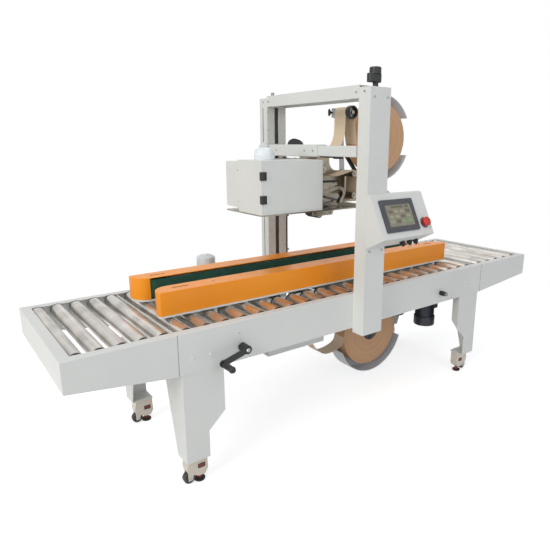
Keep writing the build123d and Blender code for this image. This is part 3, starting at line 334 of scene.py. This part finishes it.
paints = {
    panelPaint: ["near_side_panel", "far_side_panel", "infeed_frame", "outfeed_frame", "cross_members",
                 "infeed_legs",
                 "outfeed_legs", "near_column", "far_column", "top_crossbeam", "carriage_beam",
                 "head_housing",
                 "head_rear_cover", "head_door", "control_box", "lower_tape_head", "near_drive_frame",
                 "far_drive_frame"],
    orangePaint: ["near_cover", "far_cover"],
    beltRubber: ["near_belt", "far_belt"],
    rollerZincAndPaintedFlanks: ["conveyor_rollers", "short_rollers"],
    guardSheet: ["upper_roll_holder", "lower_roll_holder"],
    groundSteelAndReflection: ["head_plate", "head_rollers", "lower_head_rollers", "head_arm"],
    threadSteel: ["lift_screws", "front_width_screw", "rear_width_screw"],
    motorEnamel: ["near_motor", "far_motor", "near_pulleys", "far_pulleys"],
    upperPaper: ["upper_tape_roll"],
    lowerPaper: ["lower_tape_roll"],
    tapePaper: ["upper_tape", "lower_tape"],
    ivoryPaint: ["caster_housings"],
    wheelNylon: ["caster_wheels"],
    adjusterPlastic: ["caster_pads"],
    blackPlastic: ["width_crank", "lift_crank"],
    bottlePlastic: ["head_water_bottle", "lower_water_bottle"],
    bezelPlastic: ["touch_screen"],
    stopPlastic: ["stop_button"],
}
for material, names in paints.items():
    for name in names:
        nodes[name].data.materials.clear()
        nodes[name].data.materials.append(material)
unpainted = set(nodes) - {name for names in paints.values() for name in names}
print("materials made, nodes without one:", sorted(unpainted))


# Shapes. All of them are worked out in millimetres from the infeed end and the belt line.

axisX, axisY, axisZ = np.eye(3)


def unit(vector):
    return np.asarray(vector, float) / np.linalg.norm(vector)


# Rings of equal point count become a skin of quads: both ends are closed, or the last ring meets the first.
def skin(rings, loop=False):
    count, steps = rings.shape[:2]
    index = np.arange(count * steps).reshape(count, steps)
    lower = index if loop else index[:-1]
    upper = np.roll(index, -1, axis=0) if loop else index[1:]
    quads = np.stack([lower, np.roll(lower, -1, axis=1), np.roll(upper, -1, axis=1), upper],
                     axis=-1).reshape(-1, 4)
    faces = quads.tolist()
    if not loop:
        faces += [index[0][::-1].tolist(), index[-1].tolist()]
    return rings.reshape(-1, 3), faces


# A profile of (radius, height) pairs goes round an axis:
# centre, plus radius times (cos a, sin a) across the axis, plus height along it.
def turned(profile, centre, axis, steps=32, loop=False):
    profile = np.asarray(profile, float)
    axis = unit(axis)
    side = unit(np.cross(axis, axisZ if abs(axis[2]) < 0.9 else axisX))
    other = np.cross(axis, side)
    angle = np.linspace(0, 2 * np.pi, steps, endpoint=False)
    spokes = np.cos(angle)[:, None] * side + np.sin(angle)[:, None] * other
    rings = profile[:, 0, None, None] * spokes[None] + profile[:, 1, None, None] * axis
    return skin(rings + np.asarray(centre, float), loop)


# A circle carried along a path; the frame turns with the path about a fixed reference direction.
def pipe(path, radius, reference, steps=12):
    path = np.asarray(path, float)
    ahead = np.gradient(path, axis=0)
    ahead /= np.linalg.norm(ahead, axis=1, keepdims=True)
    side = np.cross(reference, ahead)
    side /= np.linalg.norm(side, axis=1, keepdims=True)
    other = np.cross(ahead, side)
    angle = np.linspace(0, 2 * np.pi, steps, endpoint=False)[None, :, None]
    radius = np.broadcast_to(radius, len(path))[:, None, None]
    rings = path[:, None] + radius * (np.cos(angle) * side[:, None] + np.sin(angle) * other[:, None])
    return skin(rings)


# Rounded rectangle about the origin: four corner arcs, counterclockwise.
def roundedOutline(width, height, radius, steps=4):
    angle = np.linspace(0, np.pi / 2, steps + 1)
    corners = []
    for quarter, (sx, sy) in enumerate(((1, 1), (-1, 1), (-1, -1), (1, -1))):
        turn = angle + quarter * np.pi / 2
        centre = np.array([sx * (width / 2 - radius), sy * (height / 2 - radius)])
        corners.append(centre + radius * np.stack([np.cos(turn), np.sin(turn)], axis=1))
    return np.concatenate(corners)


# An outline in a plane, raised along the plane's normal, with its rim drawn in at both faces.
def slab(outline, origin, right, up, low, high, rim=0.6):
    outline = np.asarray(outline, float)
    middle = outline.mean(axis=0)
    reach = np.abs(outline - middle).max()
    normal = np.cross(right, up)
    rings = []
    for drawn, level in ((rim, low), (0, low + rim), (0, high - rim), (rim, high)):
        points = middle + (outline - middle) * (1 - drawn / reach)
        rings.append(np.asarray(origin, float) + points[:, :1] * right + points[:, 1:] * up + level * normal)
    return skin(np.array(rings))


# Merges surfaces into one object in the row frame, smooth except over sharp edges.
def makePiece(name, surfaces, material, body, sharp=32):
    vertices, faces, count = [], [], 0
    for points, polygons in surfaces:
        vertices.append(points)
        faces += [[i + count for i in polygon] for polygon in polygons]
        count += len(points)
    points = np.concatenate(vertices) / 1000 + np.array([lineX, lineY, 0])
    mesh = bpy.data.meshes.new(name)
    mesh.from_pydata(points.tolist(), [], faces)
    mesh.polygons.foreach_set("use_smooth", np.ones(len(mesh.polygons), bool))
    mesh.set_sharp_from_angle(angle=math.radians(sharp))
    mesh.materials.append(material)
    piece = bpy.data.objects.new(name, mesh)
    bpy.context.scene.collection.objects.link(piece)
    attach(piece, body)
    return piece


# Roller end caps

roller = {"z": 582, "radius": 25, "end": 282, "shortEnd": 151, "capReach": 7, "proud": 0.35}
roller["main"] = [413 + 76 * i for i in range(22)]
roller["short"] = roller["main"][6:10]
roller["full"] = ([55 + 69 * i for i in range(5)] + [x for x in roller["main"] if x not in roller["short"]]
                  + [2118 + 80 * i for i in range(5)])


def rollerCaps():
    outer = roller["radius"] + roller["proud"]
    profile = [(outer, -roller["capReach"]), (outer, 0.2), (outer - 1, 1.2), (19.5, 1.2), (18.6, 0.3),
               (8.2, 0.3),
               (7.2, 1.0), (6.1, 1.0), (6.1, -0.6), (21.6, -0.6), (21.6, -3.5), (24.8, -3.5),
               (24.8, -roller["capReach"])]
    caps = []
    for side in (-1, 1):
        ends = [(x, side * roller["end"], side) for x in roller["full"] + roller["short"]]
        ends += [(x, side * roller["shortEnd"], -side) for x in roller["short"]]
        caps += [turned(profile, (x, y, roller["z"]), (0, way, 0), 24, loop=True) for x, y, way in ends]
    makePiece("rollerCaps", caps, capPlastic, "frame")


rollerCaps()
print("roller caps made")


# Screws

# A cap head: a short drum with a rounded rim and a sunk middle.
def screwHead(at, normal, radius=5.5, height=3.5, steps=14):
    profile = [(radius, 0), (radius, height * 0.7), (radius * 0.86, height), (radius * 0.5, height),
               (radius * 0.44, height * 0.45)]
    return turned(profile, at, normal, steps)


screws = {"frame": [], "carriage": [], "near_drive": [], "far_drive": []}
nearWay, farWay, leftWay = -axisY, axisY, -axisX
for x in (1172, 1242):
    screws["frame"] += [screwHead((x, -384, z), nearWay, 5, 3) for z in (1397, 797)]
    screws["frame"] += [screwHead((x, 384, z), farWay, 5, 3) for z in (1397, 797)]
for x in (1158, 1254):
    for step in range(9):
        screws["frame"] += [screwHead((x, 320, 1370 - 83 * step), nearWay, 2.6, 1.4, 10),
                            screwHead((x, -320, 1370 - 83 * step), farWay, 2.6, 1.4, 10)]
for side in (-1, 1):
    screws["frame"] += [screwHead((x, side * y, 1417), leftWay, 4.5, 3) for x,
                        y in ((1149, 306), (1151, 352))]
    drive = "near_drive" if side < 0 else "far_drive"
    screws[drive] += [screwHead((x, side * 107, 708), axisZ, 6, 2.6, 20) for x in (610, 1175, 1740)]
screws["frame"].append(screwHead((596, -320, 560), nearWay, 3.2, 1.6))
screws["carriage"] += [screwHead((1147, y, 1193), leftWay, 4.5, 2.6) for y in (-42, 18, 240)]
screws["carriage"] += [screwHead((819, 44, z), leftWay, 4, 2) for z in (985, 1115)]
for body, heads in screws.items():
    makePiece(f"screws_{body}", heads, zincBright, body)
legBolts = [screwHead((x, side * 320, 508), side * axisY, 7, 3) for side in (-1, 1)
            for x in (412, 480, 1960, 2028)]
makePiece("legBolts", legBolts, panelPaint, "frame")
print("screws made")


# Joints between the rails, and the seam in the far column: dark strips of painted shade

seamShades = [slab(roundedOutline(1.6, 148, 0.5, 2), (x, side * 320, 531), axisX * -side, axisZ, 0.0, 0.35, 0.1)
         for side in (-1, 1) for x in (360, 2080)]
seamShades.append(slab(roundedOutline(5, 172, 1, 2), (1151, 356, 1304), -axisY, axisZ, 0.0, 0.4, 0.1))
seamShades.append(slab(roundedOutline(5, 300, 1, 2), (1151, 356, 790), -axisY, axisZ, 0.0, 0.4, 0.1))
makePiece("railSeamShades", seamShades, seamShadePaint, "frame")


# Door hinges: black leaves with a knuckle

hinge = {"x": 817, "y": -145.6, "heights": (1006, 1098), "high": 33, "doorWide": 14, "fixedWide": 11}
doorLeaves, fixedLeaves = [], []
for z in hinge["heights"]:
    doorLeaf = roundedOutline(hinge["doorWide"], hinge["high"], 2)
    doorLeaves.append(slab(doorLeaf, (822.3 + hinge["doorWide"] / 2, -143.1, z), axisX, axisZ, 0, 3.8, 0.5))
    doorLeaves.append(slab(roundedOutline(9, 13.4, 1), (823.8, -143.1, z), axisX, axisZ, 0, 5.3, 0.3))
    doorLeaves.append(turned([(5.2, -16.5), (5.6, -16), (5.6, 16), (5.2, 16.5)], (hinge["x"], hinge["y"], z),
                             axisZ, 20))
    fixedLeaf = roundedOutline(hinge["fixedWide"], hinge["high"], 2)
    fixedLeaves.append(slab(fixedLeaf, (813, -145 + hinge["fixedWide"] / 2, z), -axisY, axisZ, 0, 2.4, 0.5))
    doorLeaves += [screwHead((831, -146.8, z + dz), nearWay, 2.6, 1.2, 12) for dz in (-9, 9)]
    fixedLeaves += [screwHead((810.7, -138.5, z + dz), leftWay, 2.6, 1, 12) for dz in (-9, 9)]
makePiece("doorHingeLeaves", doorLeaves, blackPlastic, "door")
makePiece("fixedHingeLeaves", fixedLeaves, blackPlastic, "carriage")


# Control box: screen fields, stop collar, cable glands

panel = {"origin": np.array([1150.0, -484.0, 859.0]), "up": unit((0, 84, 169)),
         "screen": (128, 94, 147.4, 91.4)}
panel["out"] = np.cross(axisX, panel["up"])


def onPanel(outline, u, v, low, high, rim=0.12):
    return slab(outline, panel["origin"] + u * axisX + v * panel["up"], axisX, panel["up"], low, high, rim)


def screenFields():
    u, v, width, height = panel["screen"]
    makePiece("screenGlass", [onPanel(roundedOutline(width, height, 1.5), u, v, 4.4, 4.9)], screenLcd,
              "frame")
    dark = [onPanel(roundedOutline(70, 9, 2), u - 8, v + 36, 4.8, 5.1),
            onPanel(roundedOutline(20, 9, 2), u + 50, v + 36, 4.8, 5.1)]
    pale, green = [], []
    for row in range(3):
        for column in range(4):
            target = green if row == 2 and column > 1 else (dark if (row + column) % 3 == 0 else pale)
            field = roundedOutline(25, 13 - 2 * (row == 1), 3)
            target.append(onPanel(field, u - 50 + 33 * column, v + 17 - 21 * row, 4.8, 5.1))
    makePiece("screenFieldsDark", dark, tileDark, "frame")
    makePiece("screenFieldsPale", pale, tilePale, "frame")
    makePiece("screenFieldsGreen", green, tileGreen, "frame")


screenFields()
stopAt = panel["origin"] + 262 * axisX + 52 * panel["up"]
makePiece("stopCollar", [turned([(12.2, 0.05), (23, 0.05), (23.5, 1), (22.6, 2.2), (13, 2.2), (12.2, 1.4)],
                                stopAt,
                                panel["out"], 40, loop=True)], padGrey, "frame")
under = unit((0, -50, -100))
glands = [turned([(12, 0), (12, 7), (10.5, 8), (10.5, 13), (8, 16), (5, 16.5)], (x, -424, 829), under, 6)
          for x in (1322, 1366, 1404)]
glands += [turned([(5, 15), (5, 21), (4, 22)], (x, -424, 829), under, 16) for x in (1322, 1366, 1404)]
makePiece("cableGlands", glands, rubberBlackAndShade, "frame")
print("door and control box fittings made")


# Guide roller: black collar, steel face, thumb screw

guideAt = np.array([1363.0, -38.0, 1362.0])
makePiece("guideCollar", [turned([(20.4, 0.4), (28.6, 0.4), (29.6, 3), (29.6, 23), (27.5, 26), (23.5, 26),
                                  (21.6, 23),
                                  (20.4, 11)], guideAt, nearWay, 40, loop=True)], blackPlastic, "carriage")
makePiece("guideFace", [turned([(20.3, 0.5), (20.3, 9), (19.4, 10), (12, 10), (11, 14), (9.5, 15),
                                (8.3, 15)], guideAt,
                               nearWay, 36)], groundSteelAndReflection, "carriage")


# Two-lobed thumb screw: rings whose height flares more than their width.
def thumbScrew(at):
    along = np.linspace(0, 1, 15)
    flare = 0.5 - 0.5 * np.cos(np.pi * np.clip((along - 0.25) / 0.6, 0, 1))
    high = 4 + 13 * flare - 5 * np.clip((along - 0.9) / 0.1, 0, 1)
    wide = 4 + 2.5 * flare - 2 * np.clip((along - 0.9) / 0.1, 0, 1)
    angle = np.linspace(0, 2 * np.pi, 28, endpoint=False)
    waist = 1 - 0.25 * np.cos(angle) ** 2 * flare[:, None]
    rings = np.empty((15, 28, 3))
    rings[..., 0] = at[0] - 24 * along[:, None]
    rings[..., 1] = at[1] - wide[:, None] * np.cos(angle) * waist
    rings[..., 2] = at[2] + high[:, None] * np.sin(angle)
    return skin(rings)


makePiece("guideThumbScrew", [thumbScrew((1343.5, 60, 1364))], blackPlastic, "carriage")


# Hubs of both rolls: a dark flange with a stepped boss and three ribs

def rollHub(name, centre, reach, body):
    at = np.array([centre[0], -38.0, centre[1]])
    parts = [turned([(reach, 0.4), (reach, 2.4), (reach - 1.5, 3.4), (26, 4.2), (24, 9), (17, 10),
                     (15.5, 14.5),
                     (13, 15.5)], at, nearWay, 40)]
    for step in range(3):
        turn = step * 2 * np.pi / 3 + 0.4
        way = np.array([np.cos(turn), 0, np.sin(turn)])
        rib = roundedOutline(reach - 22, 5, 2)
        parts.append(slab(rib, at + way * (reach + 18) / 2, way, np.cross(nearWay, way), 2, 8))
    makePiece(name, parts, blackPlastic, body)


rollHub("upperRollHub", (1573, 1251), 44, "upper_roll")
rollHub("lowerRollHub", (1548, 271), 52, "lower_roll")
print("guide and roll fittings made")


# Tape head: springs, studs, rubber on the tape roller and the release bar

# A helix between two points: the circle turns as it moves along the line.
def coilSpring(start, end, radius=4.6, wire=0.95, turns=13):
    start, end = np.asarray(start, float), np.asarray(end, float)
    axis = unit(end - start)
    side = unit(np.cross(axis, axisY))
    other = np.cross(axis, side)
    along = np.linspace(0, 1, turns * 12 + 1)[:, None]
    angle = along * turns * 2 * np.pi
    path = start + (end - start) * along + radius * (np.cos(angle) * side + np.sin(angle) * other)
    return pipe(path, wire, axis, 6)


springEnds = [((1160, -52, 978), (1226, -52, 948)), ((1184, -52, 946), (1262, -52, 968)),
              ((1214, -52, 990), (1280, -52, 975))]
makePiece("tensionSprings", [coilSpring(a, b) for a, b in springEnds], zincBright, "carriage",
          60)
studs = [screwHead((x, -46, z), nearWay, 5, 8.5, 16) for pair in springEnds for x, _, z in pair]
studs += [screwHead((x, -46, z), nearWay, 4.5, 3, 16) for x, z in ((1164, 918), (1250, 916), (1158, 960))]
makePiece("mechanismStuds", studs, threadSteel, "carriage")
makePiece("tapeRollerRubber", [turned([(20.05, -37), (20.6, -37), (21, -36.4), (21, 36.4), (20.6, 37),
                                       (20.05, 37)],
                                      (1192, 0, 914), axisY, 40, loop=True)], rubberBlackAndShade, "carriage")
makePiece("releaseBarGrip", [turned([(3.6, 0), (4.9, 0.6), (5.1, 3), (5.1, 112), (4.6, 116), (3, 117.5)],
                                    (1171, -50, 1058), axisX, 20)], rubberBlackAndShade, "carriage")
# A flat part on the far side of a plate: its outline in x and z, raised towards the far rail.
def farPlate(points, y, thick):
    points = np.asarray(points, float)
    middle = points.mean(axis=0)
    return slab((points - middle)[::-1] * (-1, 1), (middle[0], y, middle[1]), -axisX, axisZ, 0.1, thick)


lever = [(1424, 1160), (1432, 1170), (1444, 1166), (1500, 1100), (1502, 1082), (1484, 1082), (1478, 1096)]
makePiece("brakeLever", [farPlate(lever, 49, 8)], blackPlastic, "carriage")


# Beam: black cover of the cable entry, rubber strip under it, latch rail on the housing

# A low dome: (x, y, z) = half sizes times (cos f cos a, cos f sin a, sin f), drawn out to a tail on one side.
def domeCap(centre, halfX, halfY, height, tail):
    lift = np.linspace(0, 0.94, 9)[:, None] * np.pi / 2
    angle = np.linspace(0, 2 * np.pi, 32, endpoint=False)
    stretch = 1 + tail * np.clip(-np.sin(angle), 0, 1) ** 6
    rings = np.empty((9, 32, 3))
    rings[..., 0] = centre[0] + halfX * np.cos(lift) * np.cos(angle)
    rings[..., 1] = centre[1] + halfY * np.cos(lift) ** 1.3 * np.sin(angle) * stretch
    rings[..., 2] = centre[2] + height * np.sin(lift)
    return skin(rings)


makePiece("cableEntryCap", [domeCap((1173.5, 133.5, 1219), 24, 38, 27, 0.9)], rubberBlackAndShade, "carriage")
makePiece("beamStrip", [slab(roundedOutline(120, 30, 3), (1173, -137, 1170), axisY, axisX, 0.1, 5.5),
                        slab(roundedOutline(30, 34, 3), (1173, -180, 1170), axisY, axisX, 0.1, 9)],
          rubberBlackAndShade,
          "carriage")
latch = [slab(roundedOutline(214, 10, 2), (1004, 20, 1157), axisX, axisY, 0.05, 4)]
latch += [screwHead((912 + 37 * i, 20, 1160.8), axisZ, 3.4, 2.2, 12) for i in range(6)]
makePiece("latchRail", latch, zincBright, "carriage")
makePiece("latchClips", [slab(roundedOutline(15, 17, 3), (x, 22, 1161), axisX, axisY, 0, 7,
                              1) for x in (931, 1042)],
          blackPlastic, "carriage")


# Bottles: lids and a spout

makePiece("lowerBottleLid", [turned([(43.6, 640), (44.6, 643), (44.8, 684), (42, 692), (30, 698), (16, 700)],
                                    (818, 370, 0), axisZ, 48)], lidPlastic, "frame")
bend = np.linspace(0, 1, 17)
spout = np.stack([909 + 46 * bend ** 2, -20 + 60 * bend ** 2, 1203 + 20 * np.sin(bend * 2.2)], axis=1)
makePiece("headBottleSpout", [pipe(spout, 6.5, unit((60, -46, 0)), 16)], lidPlastic, "carriage")
makePiece("headBottleNeck", [turned([(20, 0), (21, 1.5), (21, 9), (19, 11)], (909, -20, 1206), axisZ, 36)],
          lidPlastic,
          "carriage")


# Ribbed conduit on the far column, held by two clips

height = np.linspace(600, 925, 261)
conduitPath = np.stack([np.full(261, 1270.0), np.full(261, 331.0), height], axis=1)
ribs = 6.6 + 0.7 * np.sin((height - 600) / 5 * 2 * np.pi)
elbow = np.linspace(0, np.pi / 2, 9)
elbowPath = np.stack([1262 + 8 * np.cos(elbow), np.full(9, 331.0), 925 + 12 * np.sin(elbow)], axis=1)
makePiece("columnConduit", [pipe(conduitPath, ribs, axisY, 14), pipe(elbowPath, 7.4, axisY, 14)],
          rubberBlackAndShade, "frame",
          70)
makePiece("conduitClips", [slab(roundedOutline(22, 9, 3), (1261, 331, z), axisY, axisZ, 0.1,
                                18.5) for z in (680, 860)],
          padGrey, "frame")


# Screw ends, crank bolt, caster rubbers and the stay of the lower guard

makePiece("rearScrewCap", [turned([(10.1, 0.3), (11.4, 0.3), (11.8, 1.5), (11.8, 27), (10.6, 29.5),
                                   (7, 30.5)],
                                  (1743, -323.2, 507), nearWay, 32)], rubberBlackAndShade, "frame")
makePiece("crankBolt", [screwHead((603, -365, 507), nearWay, 8, 4.5, 6)], zincBright, "width_handle")
pads = [(437, -268), (437, 268), (2003, -268), (2003, 268)]
makePiece("padRubbers", [turned([(18.7, 0.02), (20.2, 1.2), (20.5, 3), (20.5, 7.4), (19.8, 8.4), (12, 8.6)],
                                (x, y, 0),
                                axisZ, 32) for x, y in pads], rubberBlackAndShade, "frame")
stay = [(1566, 500), (1590, 500), (1762, 330), (1796, 300), (1796, 180), (1764, 180), (1764, 290),
        (1740, 316)]
makePiece("guardStay", [farPlate(stay, 49.2, 6)], motorEnamel, "frame")
makePiece("guardStayNut", [turned([(13, 0), (13, 9), (11, 10.5), (7, 10.5)], (1780, 55, 236), axisY, 6)],
          zincBright,
          "frame")
print("small fittings made")


# Casters: the window with the adjusting wheel, its dark inside drawn as painted shade, and the axle bolts

caster = {"wheel": 395, "pad": 437, "y": 268, "half": 22, "cheek": 18, "window": (29, 19), "wheelHigh": 14}
windowShades, adjusters, axles = [], [], []
for end in (caster["pad"], 2 * 1220 - caster["pad"]):
    axle = caster["wheel"] if end < 1220 else 2 * 1220 - caster["wheel"]
    for middle in (-caster["y"], caster["y"]):
        for side in (-1, 1):
            face = (end, middle + side * caster["half"], 70)
            right = axisX * -side
            # Black patch of painted shade inside the window, behind the ribs of the wheel.
            windowShades.append(slab(roundedOutline(*caster["window"], 4), face, right, axisZ, 0, 0.9, 0.3))
            adjusters += [slab(roundedOutline(2.6, caster["wheelHigh"], 1), np.add(face, (step, 0, 0)),
                               right, axisZ,
                               0.5, 2.2, 0.3) for step in np.arange(-10, 11, 3.2)]
            axles.append(screwHead((axle, middle + side * caster["cheek"], 26), side * axisY, 6.5, 2.5, 6))
makePiece("adjusterWindowShade", windowShades, rubberBlackAndShade, "frame")
makePiece("adjusterRibs", adjusters, adjusterPlastic, "frame")
makePiece("casterAxles", axles, zincBright, "frame")


# Slots of the covers filled black as painted shade, and the cowls of the motors

for side, drive in ((-1, "near_drive"), (1, "far_drive")):
    slotShades = [slab(roundedOutline(65, 8.4, 4.1), (x, side * 110, 705), axisX, axisY, 0, 2,
                   0.2) for x in (472, 1878)]
    makePiece(f"slotShadeFills_{drive}", slotShades, rubberBlackAndShade, drive)
    cowl = [(52.1, 254), (56, 255.5), (57, 260), (57, 302), (55.5, 305), (52.1, 305)]
    makePiece(f"motorCowl_{drive}", [turned(cowl, (1895, side * 110, 0), axisZ, 48, loop=True)], motorEnamel,
              drive)
print("caster and drive fittings made")
